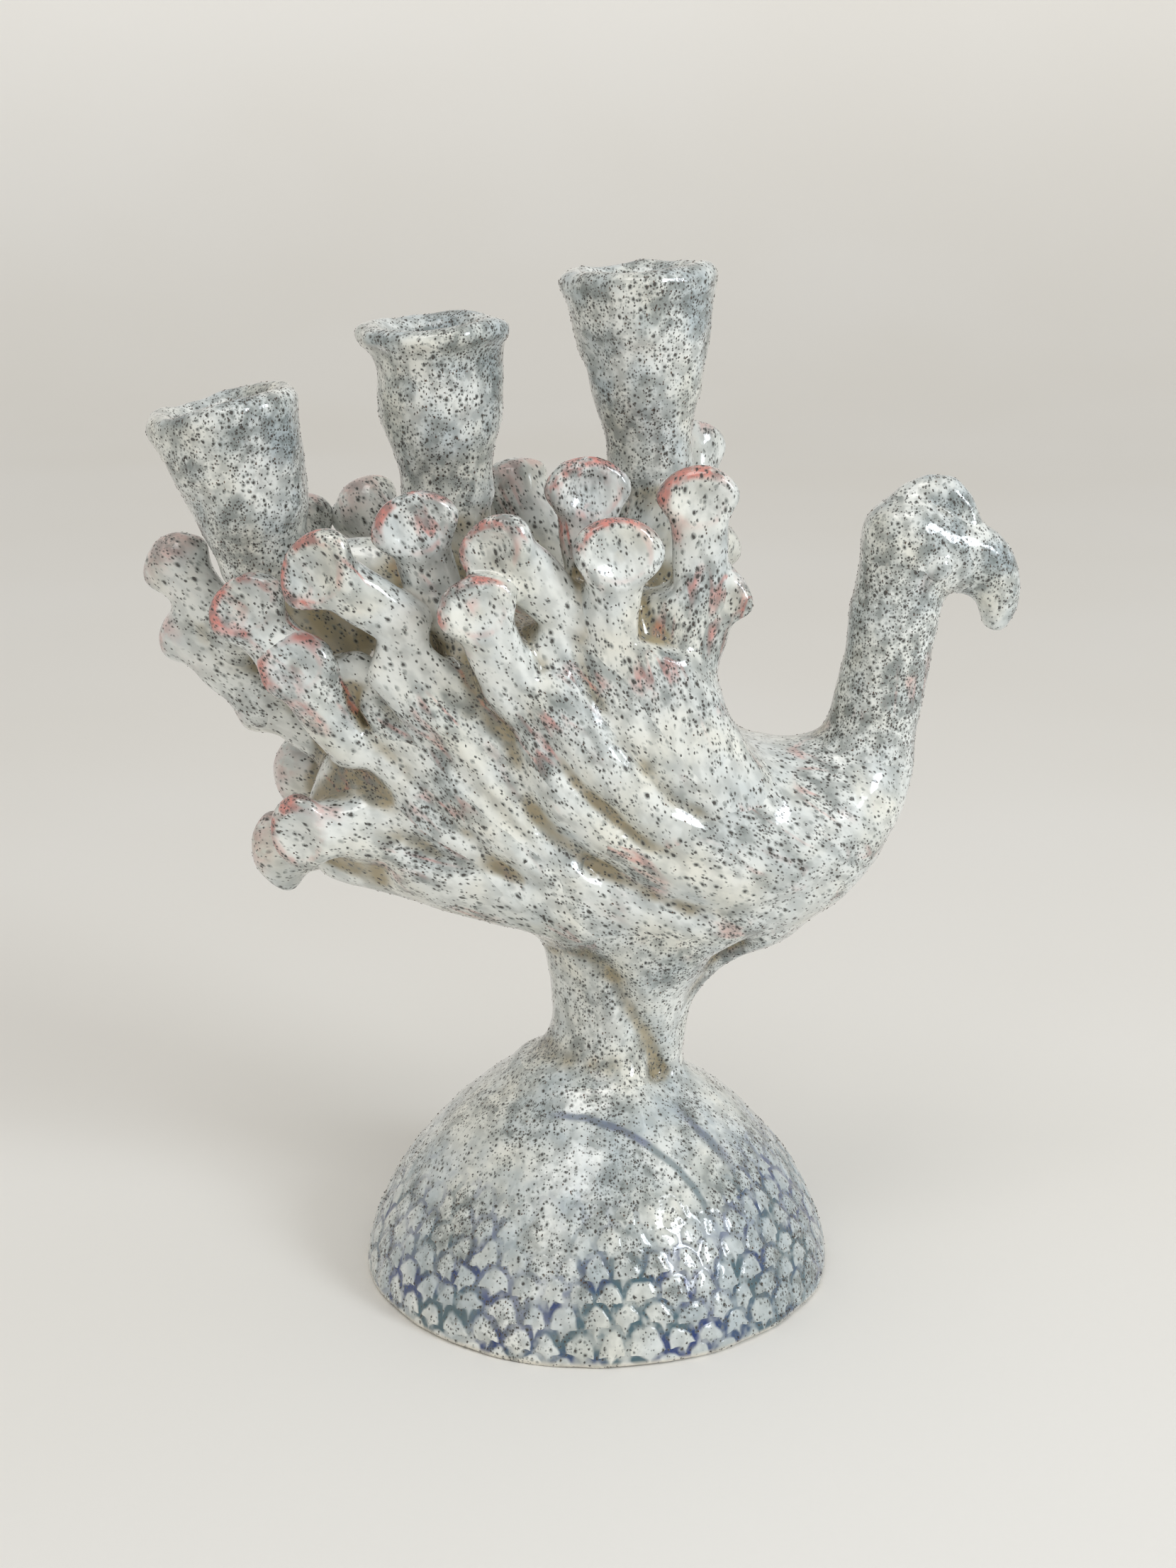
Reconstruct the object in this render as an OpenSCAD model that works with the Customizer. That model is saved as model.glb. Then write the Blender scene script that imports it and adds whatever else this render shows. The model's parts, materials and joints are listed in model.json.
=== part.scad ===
// Hand-built glazed ceramic candelabrum: a long-necked bird on a domed foot,
// its raised tail a tree of finger-pressed feathers that carries three candle cups.
// Millimetres. +Z is up, the bird looks towards +X, and the origin is the middle
// of the foot ring on the table.

/* [Foot] */
// Outer diameter of the foot where it stands
foot_d = 130; // [110:2:156]
// Height of the domed foot, up to the stem
foot_h = 57; // [46:1:70]
// Thickness of the foot's clay wall
foot_wall = 7; // [5:0.5:9]
// How full the dome is: 1 is a cone and 2 is half a ball
foot_fullness = 1.57; // [1.3:0.01:2]

/* [Stem] */
// Width of the stem at its waist, along the bird
stem_w = 40; // [32:1:48]
// Thickness of the stem at its waist, across the bird
stem_t = 33; // [27:1:40]
// Height of the stem, from the foot to the perch inside the belly
stem_h = 39; // [30:1:54]

/* [Bird] */
// Thickness of the body across the bird
body_t = 62; // [50:1:74]
// Height of the body at the saddle of the back
body_h = 54; // [46:1:62]
// Thickness of the neck half way up
neck_d = 22; // [18:0.5:27]
// Height of the neck, from the middle of the breast to the middle of the head
neck_h = 71; // [58:1:90]
// Length of the head without its beak
head_l = 29; // [24:0.5:35]
// How far the beak hooks down
beak_drop = 21; // [15:0.5:26]
// Diameter of the round eye pellets
eye_d = 7; // [5:0.5:9]

/* [Candle cups] */
// Diameter of the candles
candle_d = 22; // [19:0.5:23]
// Clearance all round the candle
candle_gap = 0.3; // [0.1:0.05:0.5]
// Depth of the straight part of a socket
socket_depth = 20; // [14:1:24]
// Depth of the flared mouth above a socket
mouth_depth = 5; // [3:0.5:7]
// Diameter of the rolled lip
lip_d = 40.5; // [37:0.5:46]
// How far the first cup's foot is from the perch, on the tail side
tail_cup_reach = 135.5; // [120:0.5:156]
// How far the middle cup's foot is from the perch
middle_cup_reach = 126.5; // [110:0.5:146]
// How far the shoulder cup's foot is from the perch
shoulder_cup_reach = 126; // [110:0.5:146]

/* [Feathers] */
// Width of a feather's stalk
stalk_w = 14.5; // [11:0.5:18]
// Width of a feather's pressed tip
tip_w = 21.5; // [17:0.5:26]
// Thickness of a feather's pressed tip
tip_t = 6.5; // [5:0.5:8]
// How much the feathers are lengthened, as a factor
feather_reach = 1; // [0.85:0.01:1.12]
// Thickness of the web of clay between the two rows of feathers
web_t = 17; // [13:0.5:21]

/* [Hidden] */
CUP_NODES = ["cup_tail", "cup_middle", "cup_shoulder"];
BRANCH_NODES = ["branch_tail", "branch_middle", "branch_shoulder"];
WEB_NODES = ["web_tail", "web_middle", "web_shoulder"];
perch = [6, 0, foot_h + stem_h];

// One row per cup: angle of its foot seen from the perch, reach, lean of its axis
// from upright towards the tail, height, and its outline as [depth below the lip
// as a share of the height, radius], from the rolled lip down to the foot.
CUPS = [
    [132.5, tail_cup_reach, 13, 45,
        [[0.12, 19.3], [0.28, 17.9], [0.5, 16], [0.68, 14.6], [0.84, 12.4], [1, 11.2]]],
    [110.5, middle_cup_reach, 4, 45,
        [[0.13, 17.6], [0.25, 16.4], [0.45, 15.4], [0.62, 14.5], [0.82, 12], [1, 11.8]]],
    [86.6, shoulder_cup_reach, 4, 51,
        [[0.12, 19], [0.3, 17.6], [0.48, 15.6], [0.62, 14], [0.8, 11.2], [1, 10.6]]]
];
cup_lip_r = 3.2;
foot_share = 0.94;

// Feathers: root, then tip, as [x, z] from the perch; the tip's offset across the
// bird; the heading of the tip, in degrees from +X towards +Z; how far the tip
// leans outwards; and its width as a factor. The far row stands on the other side.
NEAR = [
    [[-6, 12], [-79, 36], 21, 152, 12, 1],
    [[-6, 8], [-80, 77], 28, 148, 25, 1.05],
    [[-14, 22], [-92, 92], 27, 150, 20, 1],
    [[8, 11], [-71, 105], 36, 112, 15, 1.1],
    [[26, 18], [-37, 95], 42, 122, 30, 0.9],
    [[0, 30], [-52, 113], 28, 128, 35, 1.05],
    [[30, 30], [-28, 110], 38, 98, 30, 1.05],
    [[32, 40], [-3, 108], 37, 108, 30, 1.05],
    [[14, 46], [-9, 121], 25, 118, 15, 0.95],
    [[12, 61], [20, 120], 30, 66, 15, 1.05],
    [[13, 54], [20, 96], 24, 34, 12, 0.8]
];
FAR = [
    [[-6, 12], [-90, 19], 17, 172, 15, 0.9],
    [[-8, 14], [-84, 39], 22, 150, 25, 1],
    [[-10, 20], [-92, 58], 12, 158, 10, 0.85],
    [[-44, 40], [-112, 76], 14, 160, 15, 1],
    [[-62, 58], [-115, 95], 14, 162, 20, 1.05],
    [[4, 14], [-88, 102], 32, 140, 25, 1],
    [[10, 20], [-66, 107], 34, 105, 10, 1.05],
    [[24, 20], [-46, 92], 42, 124, 30, 1],
    [[14, 40], [-27, 111], 38, 100, 10, 0.95],
    [[30, 34], [0, 101], 37, 92, 30, 1.05],
    [[12, 60], [20, 122], 33, 72, 10, 1],
    [[13, 50], [20, 99], 25, 26, 15, 0.85]
];
near_count = len(NEAR);
far_count = len(FAR);

glaze = "#dfe3e0";
glaze_grey = "#c3c9cc";
glaze_cream = "#d9cfae";
glaze_blue = "#a9b7cf";
glaze_coral = "#d9a79a";

// ---- curves and swept clay ----

function unit(v) = v / norm(v);
function mix(a, b, t) = a + (b - a) * t;
function smooth(t) = t * t * (3 - 2 * t);
function from_perch(p, y = 0) = perch + [p.x, y, p.y];
function polar(angle, reach) = reach * [cos(angle), sin(angle)];

// A cubic curve through four control points, and its direction.
function curve(c, t) = let (s = 1 - t)
    s * s * s * c[0] + 3 * s * s * t * c[1] + 3 * s * t * t * c[2] + t * t * t * c[3];
function heading(c, t) = let (s = 1 - t)
    unit(s * s * (c[1] - c[0]) + 2 * s * t * (c[2] - c[1]) + t * t * (c[3] - c[2]));

// Value at x of a polyline of [x, value] rows.
function along(rows, x, i = 0) =
    i >= len(rows) - 1 ? rows[len(rows) - 1][1]
    : x <= rows[i + 1][0]
        ? mix(rows[i][1], rows[i + 1][1],
            smooth(max(0, (x - rows[i][0]) / (rows[i + 1][0] - rows[i][0]))))
    : along(rows, x, i + 1);

// An oval ring of `sides` points about c: `a` is the half width along u, `b` the
// half thickness along v, and `dish` hollows the face that looks along v.
function ring(c, u, v, a, b, sides, dish = 0) = [
    for (k = [0:sides - 1]) let (q = 360 * (k + 0.5) / sides)
        c + a * cos(q) * u + (b * sin(q) - dish * pow(max(0, sin(q)), 2)) * v
];

// Twice the area of a closed ring of points, as a vector along its axis.
function ring_axis(r) = let (n = len(r), terms = [for (k = [0:n - 1]) cross(r[k], r[(k + 1) % n])])
    [for (axis = [0:2]) [for (q = terms) q[axis]] * [for (q = terms) 1]];

// Closes a stack of equal rings into one solid; rings that run the wrong way round
// for their direction of travel are reversed, so that every face points outwards.
module skin(stack) {
    middle = floor(len(stack) / 2);
    travel = stack[middle][0] - stack[middle - 1][0];
    rings = ring_axis(stack[middle]) * travel < 0 ? stack
        : [for (r = stack) [for (k = [len(r) - 1:-1:0]) r[k]]];
    n = len(rings[0]);
    last = len(rings) - 1;
    side = [for (j = [0:last - 1], k = [0:n - 1])
        [j * n + k, j * n + (k + 1) % n, (j + 1) * n + (k + 1) % n, (j + 1) * n + k]];
    polyhedron(
        points = [for (r = rings) each r],
        faces = concat([[for (k = [n - 1:-1:0]) k]], side, [[for (k = [0:n - 1]) last * n + k]])
    );
}

// A round or oval limb along a cubic curve; `widths` and `depths` are rows of
// [share of the length, radius], in the bird's own plane and across it.
module limb(c, widths, depths, sides = 10, rings = 7) {
    skin([for (j = [0:rings]) let (
            t = j / rings,
            d = heading(c, t),
            across = [0, 1, 0],
            u = unit(cross(across, d))
        ) ring(curve(c, t), u, across, along(widths, t), along(depths, t), sides)]);
}

// Keeps a carved shape as one plain clay mesh: a resize to zero changes no size.
module clay() {
    resize([0, 0, 0]) children();
}

// ---- foot and stem ----

// Half outline of the dome from the table up to its flat top, where the stem stands:
// a superellipse whose own peak would be `dome_rise` times as high.
dome_rise = 1.13;
dome_steps = 16;
function dome_radius(z, inset) = (foot_d / 2 - inset) * pow(
    1 - pow(z / (dome_rise * foot_h - inset), foot_fullness), 1 / foot_fullness);
function dome(inset) = [
    for (k = [0:dome_steps]) let (z = (foot_h - inset) * sin(90 * k / dome_steps))
        [dome_radius(z, inset), z]
];
dome_top_r = dome_radius(foot_h, 0);

module foot_dome() color(glaze_blue) {
    outside = dome(0);
    inside = dome(foot_wall);
    rotate_extrude($fn = 96) polygon(concat(
        outside,
        [[0, foot_h], [0, foot_h - foot_wall]],
        [for (k = [dome_steps:-1:0]) inside[k]]
    ));
}

// The stem: three folded flutes that fade out where it spreads into foot and belly.
stem_waist = 0.3;
stem_flute = 3.2;
stem_flare = 13;
belly_shift = 10;
stem_sunk = 9;
function stem_ring(t) = let (
        low = pow(max(0, 1 - t / stem_waist), 2),
        high = min(1.25, pow(max(0, t - stem_waist) / (1 - stem_waist), 2)),
        a = mix(stem_w / 2, dome_top_r, low) + stem_flare * high,
        b = mix(stem_t / 2, dome_top_r, low) + 0.55 * stem_flare * high,
        fade = max(0, 4 * t * (1 - t)),
        c = [perch.x * (1 - low) + belly_shift * high, 0, foot_h + stem_h * t]
    ) [for (k = [0:17]) let (
            q = 20 * k,
            fold = 1 - stem_flute * fade / a * (0.5 + 0.5 * cos(3 * q + 90 + 30 * t))
        ) c + [a * cos(q) * fold, b * sin(q) * fold, 0]];

module stem_form() {
    top = 1 + stem_sunk / stem_h;
    skin([for (j = [0:8]) stem_ring(top * j / 8)]);
}

module stem() color(glaze) clay() difference() {
    stem_form();
    body_form();
}

// ---- body, neck and head ----

// Sections of the body along the bird: x and middle height from the perch, half
// height and half thickness as shares of the body's.
BODY = [
    [-46, 30, 0.3, 0.28], [-40, 29, 0.5, 0.42], [-26, 28, 0.78, 0.66], [-8, 26, 1.02, 0.9],
    [12, 26, 1.12, 1], [30, 25.5, 1.06, 1], [44, 27, 0.94, 0.92], [57, 31, 0.84, 0.78],
    [68, 38, 0.62, 0.56], [74, 42, 0.36, 0.34], [77, 44, 0.12, 0.12]
];

module body_form() {
    skin([for (s = BODY) ring(from_perch([s[0], s[1]]), [0, 0, 1], [0, 1, 0],
        s[2] * body_h / 2, s[3] * body_t / 2, 14)]);
}

module body() color(glaze) clay() body_form();

breast = from_perch([60, 36]);
head_at = breast + [16, 0, neck_h];

neck_path = [breast, breast + [7, 0, 22], head_at + [-6, 0, -34], head_at + [-3, 0, -6]];
neck_widths = [[0, neck_d * 0.6], [0.35, neck_d * 0.56], [0.75, neck_d * 0.51], [1, neck_d * 0.55]];
neck_depths = [[0, neck_d * 0.7], [0.35, neck_d * 0.52], [0.75, neck_d * 0.48], [1, neck_d * 0.5]];

module neck_form() {
    limb(neck_path, neck_widths, neck_depths, sides = 12, rings = 8);
}

module neck() color(glaze) clay() difference() {
    neck_form();
    body_form();
}

// The head is an egg that narrows towards the face.
HEAD = [[-0.48, -0.02, 0.14], [-0.42, 0, 0.27], [-0.25, 0.02, 0.4], [0, 0.02, 0.44],
    [0.24, -0.04, 0.38], [0.42, -0.12, 0.3], [0.52, -0.16, 0.2]];

module head_form() {
    skin([for (s = HEAD) ring(head_at + head_l * [s[0], 0, s[1]], [0, 0, 1], [0, 1, 0],
        head_l * s[2], head_l * s[2] * 0.92, 12)]);
}

module head() color(glaze_grey) clay() difference() {
    head_form();
    neck_form();
}

// A pinched comb along the top of the head.
CREST = [[-0.26, 0.3, 0.06], [-0.12, 0.34, 0.16], [0.1, 0.38, 0.21], [0.32, 0.35, 0.22],
    [0.46, 0.26, 0.16], [0.52, 0.2, 0.06]];

module crest() color(glaze_grey) clay() difference() {
    skin([for (s = CREST) ring(head_at + head_l * [s[0], 0, s[1]], [0, 0, 1], [0, 1, 0],
        head_l * s[2], head_l * 0.13, 8)]);
    head_form();
    neck_form();
}

face = head_at + head_l * [0.36, 0, -0.06];
beak_path = [face, face + [8, 0, 0], face + [13.5, 0, 3 - beak_drop / 2], face + [11, 0, -beak_drop]];

module beak() color(glaze_grey) clay() difference() {
    limb(beak_path, [[0, 8], [0.35, 7], [0.7, 5.8], [0.92, 4.4], [1, 2.4]],
        [[0, 8.4], [0.35, 7], [0.7, 5.4], [0.92, 4.2], [1, 2.4]]);
    head_form();
}

// An eye pellet is a flat dot of clay that stands proud of the cheek.
module eye(side) {
    at = head_at + head_l * [0.18, side * 0.36, -0.17];
    clay() difference() {
        translate(at) scale([1, 0.55, 1]) sphere(d = eye_d, $fn = 12);
        head_form();
    }
}

module eye_near() color("white") eye(-1);
module eye_far() color("white") eye(1);

// ---- tail web, branches and cups ----

// Webs are fans of clay in the bird's own plane, which fill the forks under and
// between the branches: from and to angle, and reach from the hip.
WEBS = [[141, 169, 84], [113, 132, 92], [92, 108, 82]];
hip = [0, 8];

module web_form(i) {
    steps = 4;
    across = 3;
    from = WEBS[i][0];
    to = WEBS[i][1];
    skin([for (j = [0:steps]) let (
            t = j / steps,
            half = web_t * mix(1, 0.58, t),
            span = [for (k = [0:across]) hip + polar(mix(from, to, k / across),
                mix(14, WEBS[i][2], t) * (1 - 0.08 * pow(2 * k / across - 1, 2)))]
        ) concat(
            [for (p = span) from_perch(p, -half)],
            [for (k = [across:-1:0]) from_perch(span[k], half)]
        )]);
}

module web(i) color(glaze_cream) clay() difference() {
    web_form(i);
    body_form();
    branch_forms();
}

// Foot centre and axis of cup i.
function cup_foot(i) = from_perch(polar(CUPS[i][0], CUPS[i][1]));
function cup_axis(i) = [-sin(CUPS[i][2]), 0, cos(CUPS[i][2])];

// Where each branch leaves the body, and the pull of its curve there.
BRANCH_ROOTS = [[-18, 26], [-8, 30], [8, 34]];
BRANCH_PULLS = [[-44, 42], [-24, 46], [2, 30]];

function branch_path(i) = let (foot = cup_foot(i)) [
    from_perch(BRANCH_ROOTS[i]),
    from_perch(BRANCH_ROOTS[i] + BRANCH_PULLS[i]),
    foot - (i == 0 ? 24 : 30) * cup_axis(i),
    foot
];

module branch_form(i) {
    r = CUPS[i][4][5][1] * foot_share;
    limb(branch_path(i), [[0, 16], [0.5, 13], [0.8, r + 0.5], [1, r]],
        [[0, 15], [0.5, 12.5], [0.8, r + 0.5], [1, r]]);
}

module branch_forms() {
    for (i = [0:2]) branch_form(i);
}

module branch(i) color(glaze_cream) clay() difference() {
    branch_form(i);
    body_form();
    if (i > 0) for (j = [0:i - 1]) branch_form(j);
}

module cup(i) {
    height = CUPS[i][3];
    outline = CUPS[i][4];
    socket_r = candle_d / 2 + candle_gap;
    inner_lip_r = socket_r + 2.6;
    outer_lip_r = lip_d / 2;
    lip_mid = [outer_lip_r - cup_lip_r, height - cup_lip_r];
    color(glaze) translate(cup_foot(i)) rotate([0, -CUPS[i][2], 0])
        difference() {
            rotate_extrude($fn = 72) polygon(concat(
                [[0, 0]],
                [for (k = [5:-1:0]) [outline[k][1], height * (1 - outline[k][0])]],
                [for (q = [-30:20:90]) lip_mid + cup_lip_r * [cos(q), sin(q)]],
                [[inner_lip_r + 1.6, height], [inner_lip_r, height - 1], [0, height - 1]]
            ));
            translate([0, 0, height - mouth_depth])
                cylinder(r1 = socket_r, r2 = inner_lip_r, h = mouth_depth + 0.01, $fn = 72);
            translate([0, 0, height - mouth_depth - socket_depth])
                cylinder(r = socket_r, h = socket_depth + 0.01, $fn = 72);
        }
}

// ---- feathers ----

// One feather: a thick stalk that runs up from the body and ends in a thumb-pressed
// paddle. `side` is -1 on the near side of the bird and 1 on the far side.
paddle_at = 0.86;
flare_at = 0.66;
function stalk_half(t, f) = let (w = tip_w * f / 2)
    t < paddle_at
        ? mix(stalk_w * mix(0.4, 0.56, min(1, t * 3)), w,
            smooth(max(0, (t - flare_at) / (paddle_at - flare_at))))
        : w * sqrt(1 - pow((t - paddle_at) / (1.03 - paddle_at), 2));
function stalk_thick(t) = t < paddle_at
    ? mix(stalk_w * mix(0.38, 0.52, min(1, t * 3)), tip_t * 0.55, smooth(t / paddle_at))
    : mix(tip_t * 0.55, tip_t * 0.32, (t - paddle_at) / (1 - paddle_at));

module feather_form(f, side) {
    aim = [cos(f[3]) * cos(f[4]), side * sin(f[4]), sin(f[3]) * cos(f[4])];
    tip = from_perch(f[1] * feather_reach, side * f[2]) + aim * tip_w * 0.42;
    root = from_perch(f[0], side * min(17, f[2] * 0.55));
    reach = norm(tip - root);
    rise = [0, side * 5, 0];
    start = unit(mix(unit(tip - root), [cos(126), 0, sin(126)], 0.35));
    path = [root, root + start * reach * 0.4 + rise, tip - aim * reach * 0.3, tip];
    steps = [0, 0.22, 0.42, 0.58, 0.68, 0.77, 0.86, 0.93, 0.98, 1];
    skin([for (t = steps) let (
            d = heading(path, t),
            out = unit([0, side, 0] - ([0, side, 0] * d) * d),
            u = cross(out, d),
            dish = t > 0.66 && t < 0.96 ? tip_t * 0.32 : 0
        ) ring(curve(path, t), side * u, side * out * side, stalk_half(t, f[5]),
            stalk_thick(t), 8, dish)]);
}

module frame_forms() {
    body_form();
    for (i = [0:2]) web_form(i);
    branch_forms();
    stem_form();
}

module cup_envelope(i) {
    translate(cup_foot(i)) rotate([0, -CUPS[i][2], 0])
        cylinder(r1 = CUPS[i][4][5][1] + 0.3, r2 = CUPS[i][4][3][1] + 0.3, h = 16, $fn = 24);
}

// A feather gives way to the body and to the feathers that were pressed on before it.
module feather(rows, i, side) clay() difference() {
    feather_form(rows[i], side);
    frame_forms();
    for (j = [0:2]) cup_envelope(j);
    if (i > 0) for (j = [0:i - 1]) feather_form(rows[j], side);
    if (side > 0) for (r = NEAR) feather_form(r, -1);
}

// ---- the assembly ----

foot_dome();
stem();
body();
neck();
head();
crest();
beak();
eye_near();
eye_far();
for (i = [0:2]) web(i);
for (i = [0:2]) branch(i);
for (i = [0:2]) cup(i);
for (i = [0:near_count - 1])
    color(i % 2 == 0 ? glaze : glaze_coral) feather(NEAR, i, -1);
for (i = [0:far_count - 1])
    color(i % 2 == 0 ? glaze_grey : glaze_cream) feather(FAR, i, 1);
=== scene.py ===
"""Looks of a hand-built candelabrum: a glazed clay bird on a domed foot, whose raised
tail of pressed feathers carries three candle cups. Metres, in the part's own frame."""

import json
import math

import bpy
import numpy as np
import openvdb
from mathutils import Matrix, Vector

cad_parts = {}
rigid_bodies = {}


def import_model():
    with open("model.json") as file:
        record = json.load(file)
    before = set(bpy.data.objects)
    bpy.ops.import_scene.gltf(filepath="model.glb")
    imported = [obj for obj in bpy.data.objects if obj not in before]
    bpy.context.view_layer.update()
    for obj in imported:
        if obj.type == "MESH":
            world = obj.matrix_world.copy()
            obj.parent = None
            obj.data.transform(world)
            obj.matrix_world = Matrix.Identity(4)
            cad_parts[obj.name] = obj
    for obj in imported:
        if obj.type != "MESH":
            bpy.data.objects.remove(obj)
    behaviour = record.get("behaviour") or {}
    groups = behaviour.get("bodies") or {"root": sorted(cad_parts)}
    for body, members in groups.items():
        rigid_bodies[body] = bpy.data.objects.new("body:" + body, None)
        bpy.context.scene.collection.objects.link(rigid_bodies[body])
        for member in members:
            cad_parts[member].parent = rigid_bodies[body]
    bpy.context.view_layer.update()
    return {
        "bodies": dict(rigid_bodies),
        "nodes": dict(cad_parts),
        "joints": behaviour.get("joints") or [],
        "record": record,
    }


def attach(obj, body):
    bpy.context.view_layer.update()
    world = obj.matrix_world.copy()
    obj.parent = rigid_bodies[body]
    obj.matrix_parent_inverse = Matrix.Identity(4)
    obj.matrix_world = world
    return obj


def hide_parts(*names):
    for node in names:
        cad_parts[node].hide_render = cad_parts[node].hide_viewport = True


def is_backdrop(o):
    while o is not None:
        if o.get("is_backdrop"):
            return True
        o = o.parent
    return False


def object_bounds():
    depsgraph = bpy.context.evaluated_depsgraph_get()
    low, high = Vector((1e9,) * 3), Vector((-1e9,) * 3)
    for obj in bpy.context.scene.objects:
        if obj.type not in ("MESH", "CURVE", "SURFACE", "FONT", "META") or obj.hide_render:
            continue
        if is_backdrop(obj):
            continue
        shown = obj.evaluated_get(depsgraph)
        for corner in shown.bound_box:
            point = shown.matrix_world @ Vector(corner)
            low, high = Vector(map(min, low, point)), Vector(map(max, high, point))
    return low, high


MM = 0.001
CELL = 0.84 * MM  # spacing of the lattice the clay is worked on
REACH = 11  # how far from a surface the lattice knows its distance, in cells
MARGIN = REACH + 3
CRUMB = 100  # a loose bit of skin with fewer quads than this is left out
LAP = 0.5  # how far neighbouring pieces of clay lap over each other, in cells

# Kinds of clay piece, by the start of the node's name: how far it is smeared into its
# neighbours, how much it is softened and how uneven the fingers left it, in mm; then
# how strongly ochre, blue-grey, iron and coral show in its glaze; then its finish.
KINDS = {
    "foot": (9.0, 0.6, 0.45, (0.03, 0.55, 0.5, 0.0), "foot_glaze"),
    "stem": (8.5, 2.0, 0.8, (0.3, 0.4, 0.75, 0.05), "body_glaze"),
    "body": (6.0, 3.4, 0.9, (0.1, 0.2, 0.5, 0.45), "body_glaze"),
    "web": (8.5, 2.6, 0.7, (0.75, 0.2, 0.45, 0.25), "branch_glaze"),
    "branch": (5.5, 2.0, 0.7, (0.95, 0.2, 0.45, 0.2), "branch_glaze"),
    "cup": (6.5, 1.5, 1.5, (0.12, 0.7, 1.1, 0.0), "cup_glaze"),
    "neck": (7.5, 1.8, 0.9, (0.35, 0.45, 1.75, 0.4), "body_glaze"),
    "head": (4.5, 1.4, 0.4, (0.12, 0.6, 1.3, 0.0), "head_glaze"),
    "crest": (2.2, 0.9, 0.3, (0.1, 0.8, 0.9, 0.0), "head_glaze"),
    "beak": (2.8, 1.1, 0.2, (0.1, 0.8, 0.9, 0.0), "head_glaze"),
    "eye": (1.0, 0.4, 0.0, (0.1, 0.2, 0.2, 0.0), "eye_glaze"),
    "feather": (4.2, 1.5, 0.7, (0.14, 0.35, 0.5, 0.7), "feather_glaze"),
}
ORDER = list(KINDS)
FATTER = {  # mm added all round
    "beak": 0.7, "crest": 0.9, "web": 5.0, "neck": 0.3, "body": 0.6, "feather": 1.7}
FAR_FEATHER_TONE = (0.4, 0.3, 0.5, 0.3)

HIP = np.array([10, 0, 105]) * MM  # where the feathers and branches all spring from

FILLED_AT = np.array([-14, 0, 26]) * MM  # middle of the filled crevices, from the hip
FILLED_REACH = 94 * MM
FILLED_FULLY = 0.66  # share of that reach within which crevices are packed in full
CREVICE_BLUR = 6.6 * MM  # how widely the skin is blurred to find the clay that packs them

# Clay packed in behind the feathers and under the beak: middle and half sizes in mm, by node.
PACKED = {
    "web_tail": ((-26, 0, 134), (34, 20, 15)),
    "web_middle": ((-16, 0, 158), (24, 20, 34)),
    "web_shoulder": ((8, 0, 160), (20, 20, 30)),
    "branch_tail": ((-60, 0, 189), (18, 8, 15)),
    "head": ((90, 0, 200), (9, 8.5, 8)),
    "beak": ((98, 0, 196), (7.5, 5.5, 7.2)),
}

# Grooves that fingers drew into the soft clay, seen from the side: how deep and how
# wide to each side, which side of the bird (-1 near, 1 far), then points (x, z), in mm.
# The clay closed up again a little, so only part of each depth is left.
GROOVE_LEFT = 0.5
GROOVE_SPREAD = 1.15  # how much wider than drawn a groove lies
GROOVE_ENDS = 14  # mm over which a groove runs out at its ends
GROOVES = (
    (3.2, 3.2, -1, ((-30, 168), (-24, 159), (-15, 138), (0, 124), (18, 113), (34, 109))),
    (3.0, 3.0, -1, ((-9, 128), (8, 119), (24, 112), (40, 110), (57, 116), (66, 124))),
    (2.4, 2.6, -1, ((-59, 133), (-41, 126), (-25, 123), (-10, 116))),
    (2.4, 2.4, -1, ((-72, 175), (-58, 159), (-41, 140), (-23, 122), (-13, 114))),
    (2.2, 2.2, -1, ((-48, 167), (-31, 146), (-13, 125), (-2, 114))),
    (2.6, 2.4, -1, ((-48, 185), (-34, 165), (-23, 146), (-10, 130), (2, 119))),
    (2.6, 2.2, -1, ((-28, 181), (-16, 165), (-5, 148), (12, 131), (26, 124))),
    (2.2, 2.2, -1, ((-9, 193), (-3, 175), (5, 159), (20, 142), (36, 133))),
    (2.8, 3.0, 1, ((-30, 166), (-16, 142), (2, 124), (20, 113), (38, 110))),
    (2.6, 2.6, 1, ((-64, 170), (-44, 146), (-22, 124), (-6, 113))),
    (2.2, 2.4, 1, ((-20, 176), (-6, 152), (14, 132), (32, 124))),
    (2.4, 2.8, 1, ((-6, 126), (14, 117), (36, 112), (58, 118))),
    (6.0, 3.2, -1, ((-3, 97), (6, 86), (12, 72), (17, 59), (22, 50))),
    (5.2, 2.8, -1, ((46, 104), (33, 93), (27, 79), (26, 68), (28, 55))),
    (3.6, 5.4, -1, ((-8, 92), (-2, 80), (2, 68))),
    (4.2, 4.6, -1, ((36, 88), (34, 78), (36, 68))),
    (3.2, 3.0, 1, ((-10, 106), (-2, 92), (4, 76), (4, 60))),
    (3.0, 3.0, 1, ((42, 102), (30, 90), (22, 74), (20, 58))),
    (1.6, 1.8, -1, ((77, 208), (79, 203), (79, 197))),
    (1.4, 1.6, -1, ((85, 207), (84, 203))),
    (1.6, 1.8, 1, ((78, 208), (80, 203), (79, 198))),
)

# A feather's tip, in mm: the pad's half sizes across, up and through, and how far it
# lies below the very end; the thumb's half sizes, and how far it stood off the pad; then
# how thick the stalk below is, over what length, and half the width it is pressed to.
PAD = (10.8, 6.4, 3.8)
PAD_BELOW_END = 6.5
THUMB = (7.6, 6.2, 3.5)
THUMB_OFF = 4.2
STALK_RADIUS = 5.7
STALK_LENGTH = 27
STALK_PRESSED = 6.8

# Where a feather is smeared into its neighbours, in mm: how widely near the hip and how
# widely at its end, and how far out from the hip the change starts and how long it takes.
FEATHER_SMEAR = (8.8, 3.2)
SMEAR_CHANGE = (52, 42)

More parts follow.
